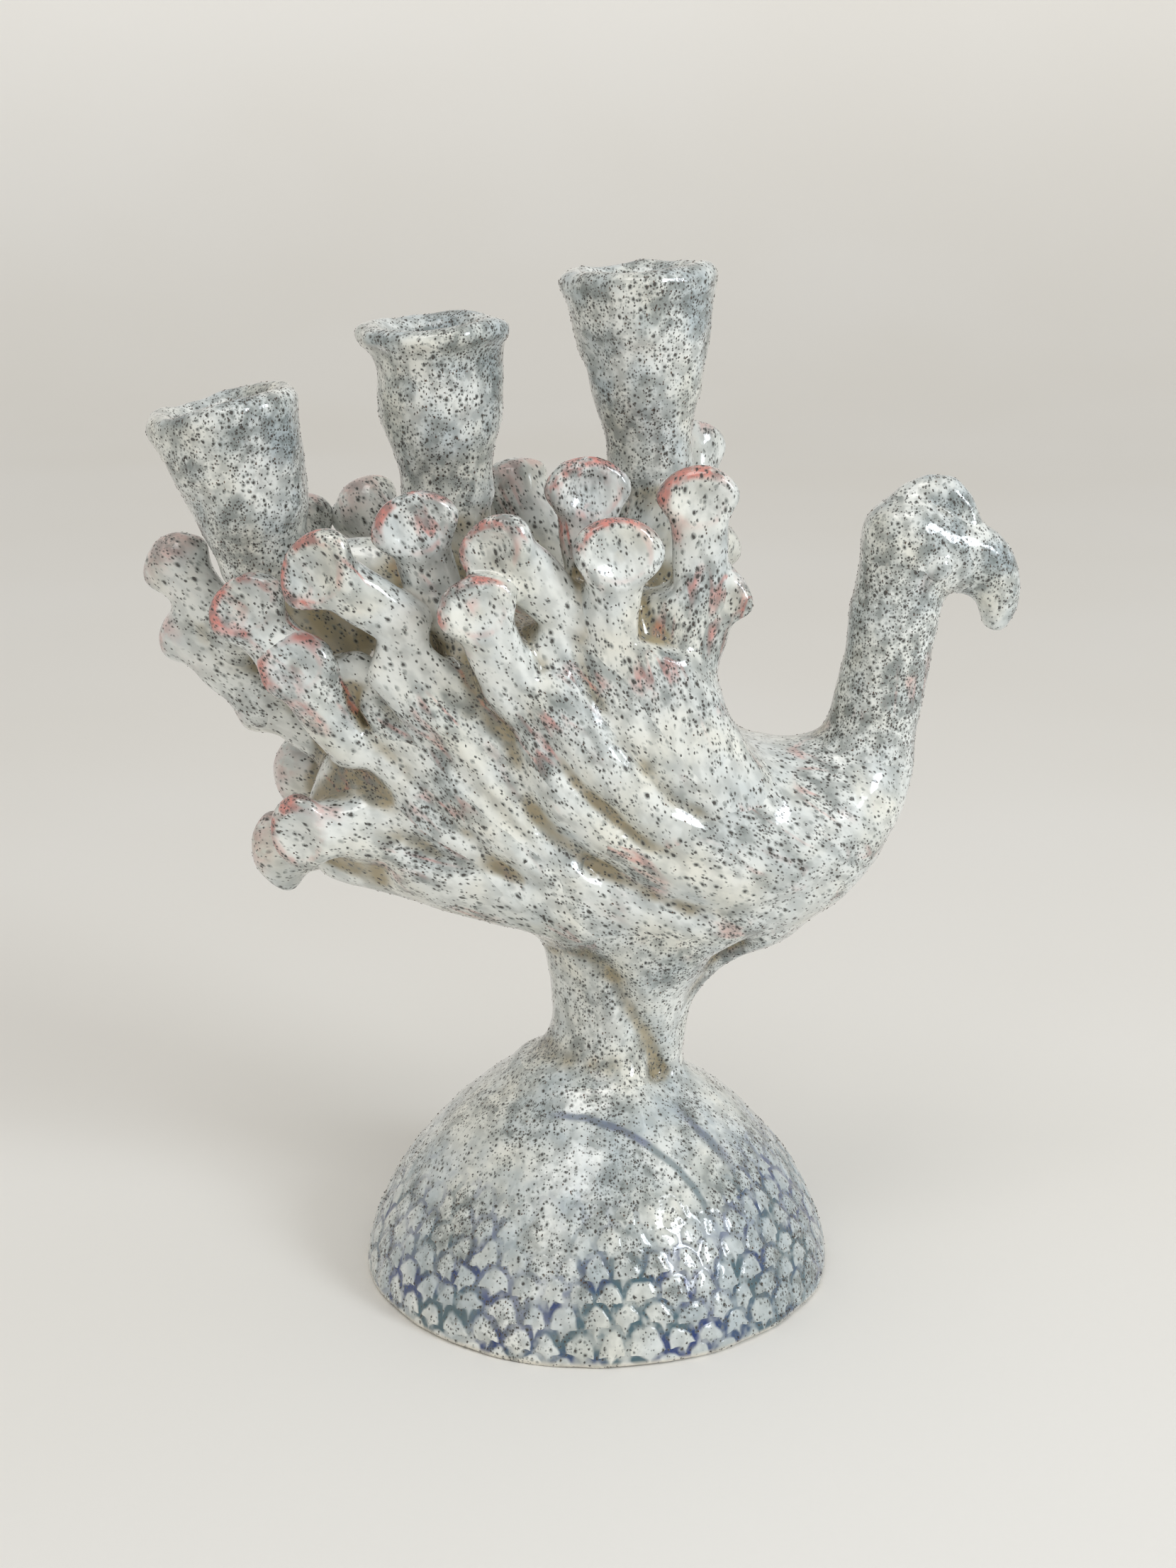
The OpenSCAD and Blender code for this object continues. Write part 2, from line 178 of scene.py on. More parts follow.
# Iron specks that stand up out of the glaze, per square centimetre where iron gathers most.
RAISED_SPECKS = {"foot": 16, "bird": 16, "cups": 22}
SPECK_RADIUS = 0.25 * MM

# The foot's painted scales.
SCALES_ROUND = 46
SCALE_ROW = 6.4 * MM
FOOT_RADIUS = 65 * MM

# Two long strokes swept over the foot's right shoulder: the middle (x, z) and radius of
# each arc, and the x where it starts and ends.
SWEEPS = tuple(tuple(v * MM for v in row) for row in (
    (-8, 10, 44, -16, 35), (-4, 8, 51, 18, 40)))

LENS = 53.398  # mm, where the picture's long side is 36 mm

PAINT = {
    "white": "#eaedea", "blue_grey": "#a3b1b8", "cream": "#e6ddc2", "ochre": "#8d7842",
    "soft_iron": "#69716f", "iron": "#2a2420", "coral": "#d0604e", "cobalt": "#17336f",
    "teal": "#42606c", "bare_clay": "#e8e2d4",
}


def colour(name):
    """One of the paints, as a linear colour with alpha."""
    code = PAINT[name]
    parts = [int(code[i:i + 2], 16) / 255 for i in (1, 3, 5)]
    return (*[((c + 0.055) / 1.055) ** 2.4 if c > 0.04 else c / 12.92 for c in parts], 1.0)


# ---- working the clay on a lattice ----

def mesh_points(mesh):
    found = np.empty(len(mesh.vertices) * 3, np.float32)
    mesh.vertices.foreach_get("co", found)
    return found.reshape(-1, 3)


def mesh_triangles(mesh):
    mesh.calc_loop_triangles()
    found = np.empty(len(mesh.loop_triangles) * 3, np.int32)
    mesh.loop_triangles.foreach_get("vertices", found)
    return found.reshape(-1, 3).astype(np.uint32)


def soften(field, width):
    """A field blurred over `width` cells along each axis."""
    if width < 0.3:
        return field
    reach = max(1, int(2.5 * width + 0.5))
    weights = np.exp(-0.5 * (np.arange(-reach, reach + 1) / width) ** 2)
    weights = (weights / weights.sum()).astype(np.float32)
    for axis in range(3):
        rim = [(reach, reach) if a == axis else (0, 0) for a in range(3)]
        padded = np.pad(field, rim, mode="edge")
        total = np.zeros_like(field)
        for k, w in enumerate(weights):
            cut = [slice(None)] * 3
            cut[axis] = slice(k, k + field.shape[axis])
            total += w * padded[tuple(cut)]
        field = total
    return field


def unevenness(shape, spacing, seed):
    """Smooth random swells about `spacing` cells apart, mostly between -1 and 1."""
    rng = np.random.default_rng(seed)
    swell = rng.uniform(-1, 1, [int(n / spacing) + 3 for n in shape]).astype(np.float32)
    for axis in range(3):
        at = np.arange(shape[axis]) / spacing
        low = at.astype(int)
        t = (at - low).astype(np.float32)
        t = t * t * (3 - 2 * t)
        form = [1, 1, 1]
        form[axis] = -1
        t = t.reshape(form)
        swell = np.take(swell, low, axis) * (1 - t) + np.take(swell, low + 1, axis) * t
    return swell


def sample(field, points):
    """The field's values at points given in cells, between the eight nearest corners."""
    low = np.clip(np.floor(points).astype(int), 0, np.array(field.shape) - 2)
    part = (points - low).astype(np.float32)
    total = np.zeros(len(points), np.float32)
    for corner in range(8):
        step = np.array([corner & 1, corner >> 1 & 1, corner >> 2 & 1])
        weight = np.prod(np.where(step == 1, part, 1 - part), axis=1)
        total += weight * field[tuple((low + step).T)]
    return total


def slopes(field, points, step=1.0):
    """Which way the field rises at each point, as unit vectors."""
    rise = np.empty((len(points), 3), np.float32)
    for axis in range(3):
        move = np.zeros(3)
        move[axis] = step
        rise[:, axis] = sample(field, points + move) - sample(field, points - move)
    return rise / np.maximum(np.linalg.norm(rise, axis=1, keepdims=True), 1e-6)


def box_mean(field, reach):
    """The mean of the field over a cube of `reach` cells each way."""
    for axis in range(3):
        rim = [(reach + 1, reach) if a == axis else (0, 0) for a in range(3)]
        total = np.cumsum(np.pad(field, rim, mode="edge"), axis=axis, dtype=np.float64)
        n = field.shape[axis]
        high = np.take(total, np.arange(2 * reach + 1, 2 * reach + 1 + n), axis)
        low = np.take(total, np.arange(n), axis)
        field = ((high - low) / (2 * reach + 1)).astype(np.float32)
    return field


def smeared(a, b, width):
    """Two bodies of clay as one, with a fillet about `width` cells wide between them."""
    return np.minimum(a, b) - np.maximum(width - np.abs(a - b), 0) ** 2 / (4 * width)


def carved(body, cut, width):
    """What is left of a body once all of it where `cut` is above 0 is taken away."""
    return -smeared(-body, -cut, width)


def oval(at, centre, axes, radii):
    """Nearly the distance from an oval body with these half sizes along its axes."""
    q = (at - centre) @ axes.T / radii
    near = np.linalg.norm(q, axis=-1)
    steep = np.linalg.norm(q / radii, axis=-1)
    return (near * (near - 1) / np.maximum(steep, 1e-6)).astype(np.float32)


def eased(t):
    t = np.clip(t, 0, 1)
    return t * t * (3 - 2 * t)


def without_crumbs(points, quads):
    """A skin less the crumbs that were cut loose from it, found by following the quads."""
    label = np.arange(len(points))
    while True:
        least = label[quads].min(axis=1)
        joined = label.copy()
        for corner in quads.T:
            np.minimum.at(joined, corner, least)
            np.minimum.at(joined, label[corner], least)
        joined = joined[joined]
        if (joined == label).all():
            break
        label = joined
    owner = label[quads[:, 0]]
    quads = quads[np.bincount(owner)[owner] >= CRUMB]
    used = np.unique(quads)
    place = np.zeros(len(points), np.int64)
    place[used] = np.arange(len(used))
    return points[used], place[quads]


def unit(v):
    return v / np.linalg.norm(v)


def lattice(low, high):
    """The corners of a block of the lattice, in cells."""
    return np.stack(np.meshgrid(*[np.arange(a, b, dtype=np.float32) for a, b in zip(low, high)],
                                indexing="ij"), -1)


class Lump:
    """One piece of clay on its own block of the lattice."""

    def __init__(self, name, mesh, origin):
        kind = next(k for k in ORDER if name.startswith(k))
        self.name = name
        self.kind = kind
        smear, softness, swell, tone, finish = KINDS[kind]
        self.smear = smear * MM / CELL
        self.swell = swell * MM / CELL
        self.tone = FAR_FEATHER_TONE if name.startswith("feather_far") else tone
        self.finish = finish
        points = (mesh_points(mesh) - origin) / CELL
        self.low = np.floor(points.min(0)).astype(int) - MARGIN
        self.high = np.ceil(points.max(0)).astype(int) + MARGIN
        self.block = tuple(slice(a, b) for a, b in zip(self.low, self.high))
        grid = openvdb.FloatGrid.createLevelSetFromPolygons(
            (points - self.low).astype(np.float32), triangles=mesh_triangles(mesh),
            transform=openvdb.createLinearTransform(1.0), halfWidth=float(REACH))
        depth = np.zeros(self.high - self.low, np.float32)
        grid.copyToArray(depth)
        self.depth = soften(depth, softness * MM / CELL) - FATTER.get(kind, 0) * MM / CELL
        self.lay_out(points * CELL + origin)
        if name in PACKED:
            centre, radii = (np.array(v) * MM for v in PACKED[name])
            here = lattice(self.low, self.high) * CELL + origin
            fill = oval(here, centre, np.eye(3), radii) / CELL
            self.depth = smeared(self.depth, fill, self.smear)
        if kind == "feather":
            self.press_tip(points * CELL + origin, origin)
            reach = np.linalg.norm(lattice(self.low, self.high) * CELL + origin - HIP, axis=-1)
            wide, slim = FEATHER_SMEAR
            start, length = SMEAR_CHANGE
            share = eased((reach / MM - start) / length)
            self.smear = (wide - (wide - slim) * share) * MM / CELL

    def lay_out(self, points):
        """Finds which way the piece runs, and its free tip, for what follows its length."""
        centre = points.mean(0)
        self.tip = points[np.argmax(np.linalg.norm(points - HIP, axis=1))]
        self.drawn_out = 0.42 if self.kind in ("feather", "branch", "body", "web") else 0.1
        if self.kind in ("feather", "branch"):
            run = self.tip - points[np.argmin(np.linalg.norm(points - HIP, axis=1))]
        elif self.kind in ("body", "web"):
            run = np.array([0.83, 0.0, -0.55])
        else:
            run = np.array([0.0, 0.0, 1.0])
        self.run = unit(run)
        self.centre = centre

    def press_tip(self, points, origin):
        """Ends a feather in a thick oval pad set aslant on its stalk, hollowed by a thumb."""
        far = np.linalg.norm(points - self.tip, axis=1) / MM
        end = points[far < 17]
        aim = unit(self.tip - points[(far > 12) & (far < 32)].mean(0))
        flat = np.linalg.svd(end - end.mean(0))[2][2]
        flat = unit(flat - (flat @ aim) * aim)
        if flat[1] * self.tip[1] < 0:
            flat = -flat
        turn = math.sin(5 * sum(self.tip) / MM)
        face = unit(flat + (0.5 + 0.15 * turn) * aim)
        up = unit(aim - (aim @ face) * face)
        axes = np.stack([np.cross(face, up), up, face])
        size = 1 + 0.1 * math.sin(7 * sum(self.tip) / MM)
        pad = self.tip - PAD_BELOW_END * MM * aim
        out = lattice(self.low, self.high) * CELL + origin - pad
        away = np.linalg.norm(out, axis=-1)
        beside = np.abs(out @ axes[0]) - STALK_PRESSED * MM - 1.5 * np.maximum(away - 24 * MM, 0)
        above = out @ face - 2.6 * MM - 1.5 * np.maximum(away - 15 * MM, 0)
        self.depth = carved(self.depth, beside / CELL, 4.0 * MM / CELL)
        self.depth = carved(self.depth, above / CELL, 3.0 * MM / CELL)
        longer = np.array([0, turn, 0])
        body = oval(out, 0, axes, (PAD + longer) * size * MM) / CELL
        hollow = (THUMB_OFF * face - 1.6 * up + 1.8 * turn * axes[0]) * MM
        thumb = oval(out, hollow, axes, (THUMB + longer) * size * MM) / CELL
        length = STALK_LENGTH * MM
        down = np.clip(-(out @ aim) / length, 0, 1)[..., None] * (-length * aim)
        off_axis = np.linalg.norm(out - down + 1.2 * MM * face, axis=-1)
        stalk = (off_axis - STALK_RADIUS * MM) / CELL
        self.depth = smeared(self.depth, stalk.astype(np.float32), 4.0 * MM / CELL)
        self.depth = smeared(self.depth, body, 4.5 * MM / CELL)
        self.depth = carved(self.depth, -thumb, 2.6 * MM / CELL)


class Clay:
    """All the pieces smeared into one skin, which is then cut back into the pieces."""

    def __init__(self, frame):
        low, high = (np.array(corner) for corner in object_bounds())
        self.origin = low - 2 * MARGIN * CELL
        self.shape = tuple(np.ceil((high - low) / CELL).astype(int) + 4 * MARGIN)
        names = sorted(frame["nodes"], key=lambda n: (
            next(i for i, k in enumerate(ORDER) if n.startswith(k)), n))
        self.lumps = [Lump(n, frame["nodes"][n].data, self.origin) for n in names]
        self.sockets = [m for m in frame["record"]["mounts"] if m["kind"] == "bore"]
        self.join()
        solid = (self.skin < 0).astype(np.float32)
        self.near = box_mean(solid, max(1, round(2.4 * MM / CELL)))
        self.wide = box_mean(solid, max(2, round(7.0 * MM / CELL)))

    def join(self):
        coarse = unevenness(self.shape, 13 * MM / CELL, 3)
        fine = unevenness(self.shape, 5.5 * MM / CELL, 8)
        swell = 0.7 * coarse + 0.35 * fine
        self.skin = np.full(self.shape, REACH, np.float32)
        best = np.full(self.shape, REACH, np.float32)
        second = best.copy()
        owner = np.full(self.shape, -1, np.int16)
        for i, lump in enumerate(self.lumps):
            b = lump.block
            lump.depth += lump.swell * swell[b] * self.away_from_sockets(lump)
            depth = lump.depth
            self.skin[b] = smeared(self.skin[b], depth, lump.smear)
            closer = depth < best[b]
            second[b] = np.where(closer, best[b], np.minimum(second[b], depth))
            best[b] = np.where(closer, depth, best[b])
            owner[b] = np.where(closer, i, owner[b])
        self.fill_crevices()
        self.draw_grooves()
        self.skin = soften(self.skin, 0.55 * MM / CELL)
        self.best, self.second, self.owner = best, second, owner

    def fill_crevices(self):
        """Packs clay into the narrow gaps round the hip, where the feathers spring."""
        middle = ((HIP + FILLED_AT - self.origin) / CELL).astype(int)
        reach = int(FILLED_REACH / CELL)
        low = np.maximum(middle - reach, 0)
        high = np.minimum(middle + reach, self.shape)
        block = tuple(slice(a, b) for a, b in zip(low, high))
        away = np.linalg.norm(lattice(low, high) - middle, axis=-1) / reach
        packed = soften(self.skin[block], CREVICE_BLUR / CELL) + 0.1 * MM / CELL
        packed += REACH * eased((away - FILLED_FULLY) / (1 - FILLED_FULLY))
        self.skin[block] = smeared(self.skin[block], packed, 1.5 * MM / CELL)

    def draw_grooves(self):
        """Sinks the drawn grooves into the skin, each on its own side of the bird."""
        x, y, z = (np.arange(n) * CELL / MM + o / MM for n, o in zip(self.shape, self.origin))
        for depth, width, side, line in GROOVES:
            nearest = np.full((len(x), len(z)), 1e3)
            for (x0, z0), (x1, z1) in zip(line, line[1:]):
                dx, dz = x1 - x0, z1 - z0
                t = ((x[:, None] - x0) * dx + (z - z0) * dz) / (dx * dx + dz * dz)
                t = np.clip(t, 0, 1)
                nearest = np.minimum(nearest, np.hypot(x[:, None] - x0 - t * dx, z - z0 - t * dz))
            ends = np.minimum(*[np.hypot(x[:, None] - px, z - pz) for px, pz in (line[0], line[-1])])
            cut = GROOVE_LEFT * depth * np.exp(-(nearest / width / GROOVE_SPREAD) ** 2)
            cut *= 0.25 + 0.75 * eased(ends / GROOVE_ENDS)
            mine = eased((y * side - 2) / 8)
            self.skin += (cut[:, None, :] * mine[:, None] * MM / CELL).astype(np.float32)

    def away_from_sockets(self, lump):
        """1 where fingers could reach a cup's wall, and 0 inside its true socket."""
        if lump.kind != "cup":
            return 1.0
        socket = next(m for m in self.sockets if m["name"].endswith(lump.name[4:]))
        axis = np.array(socket["axis"])
        out = lattice(lump.low, lump.high) * CELL + self.origin - np.array(socket["pos_m"])
        radius = np.linalg.norm(out - (out @ axis)[..., None] * axis, axis=-1)
        return eased((radius / MM - 12.2) / 3.0).astype(np.float32)

    def territory(self, i):
        """Below 0 where piece i is nearest, in cells, over its own block."""
        lump = self.lumps[i]
        b = lump.block
        other = np.where(self.owner[b] == i, self.second[b], self.best[b])
        return lump.depth - other

    def piece(self, i):
        """Points, faces, normals and what the glaze needs to know, for one piece."""
        lump = self.lumps[i]
        territory = self.territory(i)
        grid = openvdb.FloatGrid(float(REACH))
        grid.copyFromArray(np.maximum(self.skin[lump.block], territory - LAP))
        points, quads = without_crumbs(*grid.convertToQuads(0.0))
        here = points.astype(np.float64)
        at = here + lump.low
        depth = sample(self.skin, at)
        outer = depth > -1.0
        normal = slopes(self.skin, at)
        beyond = sample(territory, here)
        sink = 0.25 * np.clip(beyond + 0.1, 0, 1)
        at[outer] -= (normal * (depth + sink)[:, None])[outer]
        inward = slopes(territory, here)
        normal[~outer] = inward[~outer]
        place = (at * CELL + self.origin).astype(np.float32)
        return {"points": place, "quads": quads[:, ::1], "normal": normal,
                "outer": outer, "seam": np.abs(beyond) < 2.5, **self.glaze_facts(lump, at, place)}

    def glaze_facts(self, lump, at, place):
        """How hollow or sharp the skin is, the tones that blend in from the neighbours,
        and a place measured along the piece for what is drawn out along it."""
        away = place - lump.centre
        along = (away @ lump.run)[:, None] * lump.run
        total = np.zeros(len(at), np.float32)
        tone = np.zeros((len(at), 4), np.float32)
        for other in self.lumps:
            inside = np.all((at > other.low + 1) & (at < other.high - 2), axis=1)
            if not inside.any():
                continue
            depth = sample(other.depth, at[inside] - other.low)
            weight = np.exp(-np.clip(depth, -1, REACH) / 2.2)
            total[inside] += weight
            tone[inside] += weight[:, None] * np.array(other.tone, np.float32)
        tone /= np.maximum(total, 1e-6)[:, None]
        tip = np.linalg.norm(place - lump.tip, axis=1) / (26 * MM)
        return {
            "edge": 1 - 2 * sample(self.near, at), "fold": 2 * sample(self.wide, at) - 1,
            "tone": tone, "grain": away - lump.drawn_out * along, "streak": away - 0.92 * along,
            "run": np.broadcast_to(lump.run.astype(np.float32), place.shape),
            "tip": np.clip(1 - tip, 0, 1) if lump.kind == "feather" else np.zeros(len(at)),
        }


def store(mesh, name, values):
    values = np.ascontiguousarray(values, np.float32)
    kind, key = {1: ("FLOAT", "value"), 2: ("FLOAT_VECTOR", "vector")}[values.ndim]
    if values.ndim == 2 and values.shape[1] == 4:
        kind, key = "FLOAT_COLOR", "color"
    layer = mesh.attributes.new(name, kind, "POINT")
    layer.data.foreach_set(key, values.ravel())


def make_mesh(name, made):
    """A smooth mesh from one cut piece, with the facts its glaze reads."""
    mesh = bpy.data.meshes.new(name)
    points, quads = made["points"], made["quads"]
    mesh.vertices.add(len(points))
    mesh.vertices.foreach_set("co", points.ravel())
    mesh.loops.add(quads.size)
    mesh.loops.foreach_set("vertex_index", quads.astype(np.int32).ravel())
    mesh.polygons.add(len(quads))
    mesh.polygons.foreach_set("loop_start", np.arange(0, quads.size, 4, dtype=np.int32))
    mesh.update(calc_edges=True)
    mesh.shade_smooth()
    for key in ("edge", "fold", "tip", "tone", "grain", "streak", "run"):
        store(mesh, key, made[key])
    store(mesh, "outer", made["outer"].astype(np.float32))
    store(mesh, "seam", made["seam"].astype(np.float32))
    store(mesh, "skin_normal", made["normal"])
    return mesh


def set_normals(mesh):
    """The common skin's normals at the seams, so that no seam shows, and the piece's
    own elsewhere."""
    count = len(mesh.vertices)
    own = np.empty(count * 3, np.float32)
    mesh.vertex_normals.foreach_get("vector", own)
    skin = np.empty(count * 3, np.float32)
    mesh.attributes["skin_normal"].data.foreach_get("vector", skin)
    seam = np.empty(count, np.float32)
    mesh.attributes["seam"].data.foreach_get("value", seam)
    final = np.where(seam[:, None] > 0.5, skin.reshape(-1, 3), own.reshape(-1, 3))
    mesh.attributes.remove(mesh.attributes["skin_normal"])
    mesh.attributes.remove(mesh.attributes["seam"])
    mesh.normals_split_custom_set_from_vertices(final)


def new_object(name, mesh):
    made = bpy.data.objects.new(name, mesh)
    bpy.context.scene.collection.objects.link(made)
    return made


# ---- node sums, for glazes and for geometry alike ----

class Wire:
    """A node's output that takes part in Python sums; each sum adds a Math node."""

    def __init__(self, bench, socket):
        self.bench = bench
        self.socket = socket

    def sum(self, operation, *values):
        return self.bench.node("ShaderNodeMath", {"operation": operation}, dict(enumerate(values)))

    def __add__(self, other): return self.sum("ADD", self, other)
    def __radd__(self, other): return self.sum("ADD", other, self)
    def __sub__(self, other): return self.sum("SUBTRACT", self, other)
    def __rsub__(self, other): return self.sum("SUBTRACT", other, self)
    def __mul__(self, other): return self.sum("MULTIPLY", self, other)
    def __rmul__(self, other): return self.sum("MULTIPLY", other, self)
    def __truediv__(self, other): return self.sum("DIVIDE", self, other)
    def __pow__(self, other): return self.sum("POWER", self, other)
    def __abs__(self): return self.sum("ABSOLUTE", self)

    def most(self, other): return self.sum("MAXIMUM", self, other)
    def least(self, other): return self.sum("MINIMUM", self, other)
    def part(self): return self.sum("FRACT", self)
    def whole(self): return self.sum("FLOOR", self)
    def over(self, other): return self.sum("GREATER_THAN", self, other)
    def turn_from(self, x): return self.sum("ARCTAN2", self, x)
    def clamp(self): return self.most(0.0).least(1.0)

    def rise(self, low, high):
        """0 below low and 1 above high, with a smooth step between."""
        return self.bench.node("ShaderNodeMapRange", {"interpolation_type": "SMOOTHSTEP"}, {
            "Value": self, "From Min": low, "From Max": high, "To Min": 0.0, "To Max": 1.0})

    def out(self, name):
        return Wire(self.bench, self.socket.node.outputs[name])


class Bench:
    """Adds nodes to one tree."""

    def __init__(self, tree):
        self.tree = tree

    def node(self, kind, settings=None, inputs=None, output=0):
        made = self.tree.nodes.new(kind)
        for key, value in (settings or {}).items():
            setattr(made, key, value)
        for key, value in (inputs or {}).items():
            if isinstance(value, Wire):
                self.tree.links.new(value.socket, made.inputs[key])
            else:
                made.inputs[key].default_value = value
        return Wire(self, made.outputs[output]) if len(made.outputs) else made

    def vector_sum(self, operation, a, b):
        return self.node("ShaderNodeVectorMath", {"operation": operation}, {0: a, 1: b})

    def scaled(self, vector, factor):
        return self.node("ShaderNodeVectorMath", {"operation": "SCALE"}, {0: vector, 3: factor})

    def split(self, vector):
        made = self.node("ShaderNodeSeparateXYZ", None, {0: vector})
        return made, made.out("Y"), made.out("Z")

    def noise(self, place, size, detail=2.0, rough=0.5, output=0):
        """Soft noise about `size` metres across, round 0.5."""
        return self.node("ShaderNodeTexNoise", None, {
            "Vector": place, "Scale": 1 / size, "Detail": detail, "Roughness": rough}, output)

    def stirred(self, place, size, by):
        """A place moved about by noise, `by` metres at most."""
        wander = self.noise(place, size, 2.0, output=1)
        middle = self.vector_sum("SUBTRACT", wander, (0.5, 0.5, 0.5))
        return self.vector_sum("ADD", place, self.scaled(middle, 2 * by))

    def mix(self, share, a, b):
        """Colour a turning into colour b."""
        return self.node("ShaderNodeMix", {"data_type": "RGBA"}, {0: share, 6: a, 7: b}, output=2)


def iron_clouds(b, place, grain):
    """Where iron gathers, from 0 to 1: broad patches broken up by small ones."""
    broad = b.noise(grain, 14 * MM, 3.0).rise(0.42, 0.66)
    small = b.noise(place, 5 * MM, 2.0).rise(0.35, 0.7)
    return broad * (0.4 + 0.6 * small)


def foot_scales(b, place, thickness):
    """Arched scales drawn by hand round the foot: 1 on a line and 0 between."""
    drawn = b.stirred(b.stirred(place, 16 * MM, 4.0 * MM), 5 * MM, 1.5 * MM)
    x, y, z = b.split(drawn)
    radius = (x * x + y * y) ** 0.5
    inward = (FOOT_RADIUS - radius).most(0.0)
    up = (z * z + inward * inward) ** 0.5 / SCALE_ROW + 0.35
    row = up.whole()
    around = y.turn_from(x) * (SCALES_ROUND / math.tau) + 0.5 * (row * 0.5).part() * 2.0
    side = (around.part() - 0.5) * 2.0
    arch = (side * side + up.part() ** 2.0) ** 0.5
    width = thickness / SCALE_ROW
    return 1 - (abs(arch - 1.0)).rise(width * 0.35, width)


def dots(b, place, cell, small, large, amount):
    """Specks of iron, one in each cell of the size given and each of its own radius,
    and the grey that bleeds from them; `amount` is the share of them that shows."""
    cells = b.node("ShaderNodeTexVoronoi", None, {"Vector": place, "Scale": 1 / cell})
    chance = b.node("ShaderNodeSeparateColor", None, {0: cells.out("Color")})
    radius = small + (large - small) * chance.out("Green")
    beyond = cells * cell - radius
    shows = (amount - chance).rise(-0.02, 0.02)
    return (1 - beyond.rise(-0.1 * MM, 0.1 * MM)) * shows, (1 - beyond.rise(0, cell * 0.45)) * shows


# ---- the glazes ----

def attribute(b, name, output="Fac"):
    return b.node("ShaderNodeAttribute", {"attribute_name": name}, None, output)


def start_finish(name):
    material = bpy.data.materials.new(name)
    material.use_nodes = True
    material.node_tree.nodes.clear()
    return material, Bench(material.node_tree)


def close_finish(b, paint, roughness, height, coat=0.6, **constants):
    bump = b.node("ShaderNodeBump", None, {"Height": height, "Distance": 1.0, "Strength": 1.0})
    inputs = {"Base Color": paint, "Roughness": roughness, "Normal": bump,
              "Coat Weight": coat, "Coat Roughness": 0.04, "IOR": 1.5}
    shader = b.node("ShaderNodeBsdfPrincipled", None, {**inputs, **constants})
    b.node("ShaderNodeOutputMaterial", None, {"Surface": shader})


def coral_marks(b, tone, grain, streak, edge, tip):
    """Coral rubbed on the upper rims that face the tail's end, and drawn out in streaks
    down the stalks."""
    rubbed = b.noise(grain, 6 * MM, 3.0, 0.6)
    facing = b.node("ShaderNodeTexCoord", None, None, "Normal")
    upper = b.node("ShaderNodeVectorMath", {"operation": "DOT_PRODUCT"},
                   {0: facing, 1: (-0.65, 0.0, 0.76)}, 1)
    rim = tip.rise(0.2, 0.42) * edge.rise(0.0, 0.22) * rubbed.rise(0.36, 0.54) * upper.rise(-0.2, 0.45)
    wander = b.noise(streak, 5.5 * MM, 1.0)
    thread = 1 - abs(wander - 0.5).rise(0.01, 0.075)
    where = b.noise(grain, 13 * MM, 1.0).rise(0.5, 0.64) * rubbed.rise(0.36, 0.6)
    return (rim + 0.8 * thread * where).clamp() * (tone * 1.4).clamp()


def glaze(name, under=None):
    """The common glaze: milky white that breaks to blue-grey and cream, pools ochre in
    the hollows, and carries coral marks and iron specks. `under` may paint on the base
    colour, and returns the lines it drew so that they can be sunk a little."""
    material, b = start_finish(name)
    place = b.node("ShaderNodeTexCoord", None, None, "Object")
    grain, streak = attribute(b, "grain", "Vector"), attribute(b, "streak", "Vector")
    edge, fold, tip = attribute(b, "edge"), attribute(b, "fold"), attribute(b, "tip")
    tones = b.node("ShaderNodeSeparateColor", None, {0: attribute(b, "tone", "Color")})
    ochre, blue, iron = tones, tones.out("Green"), tones.out("Blue")
    coral = attribute(b, "tone", "Alpha")

    clouds = b.noise(grain, 11 * MM, 3.0, 0.55)
    paint = b.mix((clouds.rise(0.36, 0.68) * (blue + 0.15)).clamp(), colour("white"), colour("blue_grey"))
    cream = b.noise(place, 19 * MM, 2.0).rise(0.42, 0.7) * 0.32
    paint = b.mix(cream, paint, colour("cream"))
    pooled = (fold * 3.0 + ochre * 1.2 + b.noise(place, 8 * MM, 2.0) - 0.8).rise(0.0, 0.7)
    paint = b.mix(pooled * 0.8, paint, colour("ochre"))
    lines = None
    if under:
        paint, lines = under(b, place, paint)
    marks = coral_marks(b, coral, grain, streak, edge, tip)
    paint = b.mix(marks * 0.8, paint, colour("coral"))

    gather = iron_clouds(b, place, grain)
    rims = tip.rise(0.2, 0.5) * edge.rise(0.1, 0.35)
    share = (gather + iron * 0.5 + rims * 0.5 + 0.02 + 0.25 * fold).clamp()
    rough_place = b.stirred(grain, 1.3 * MM, 0.4 * MM)
    fine, fine_bleed = dots(b, rough_place, 0.66 * MM, 0.08 * MM, 0.27 * MM, share * 0.95)
    coarse, coarse_bleed = dots(b, rough_place, 1.25 * MM, 0.12 * MM, 0.42 * MM, share * 0.75)
    haze = b.noise(grain, 3.4 * MM, 2.0).rise(0.4, 0.64) * (share * 1.15 + 0.14)
    bleed = (coarse_bleed * 0.7).most(fine_bleed * 0.55).most(haze * 0.6)
    paint = b.mix(bleed.clamp(), paint, colour("soft_iron"))
    specks = fine.most(coarse)
    paint = b.mix(specks * 0.9, paint, colour("iron"))

    peel = b.noise(place, 2.6 * MM, 2.0)
    swells = b.noise(place, 9 * MM, 2.0)
    height = specks * (0.07 * MM) + peel * (0.1 * MM) + swells * (0.5 * MM)
    if lines:
        height = height - lines * (0.12 * MM)
    roughness = 0.1 + 0.12 * b.noise(place, 7 * MM, 2.0) + 0.1 * specks
    close_finish(b, paint, roughness, height)
    return material


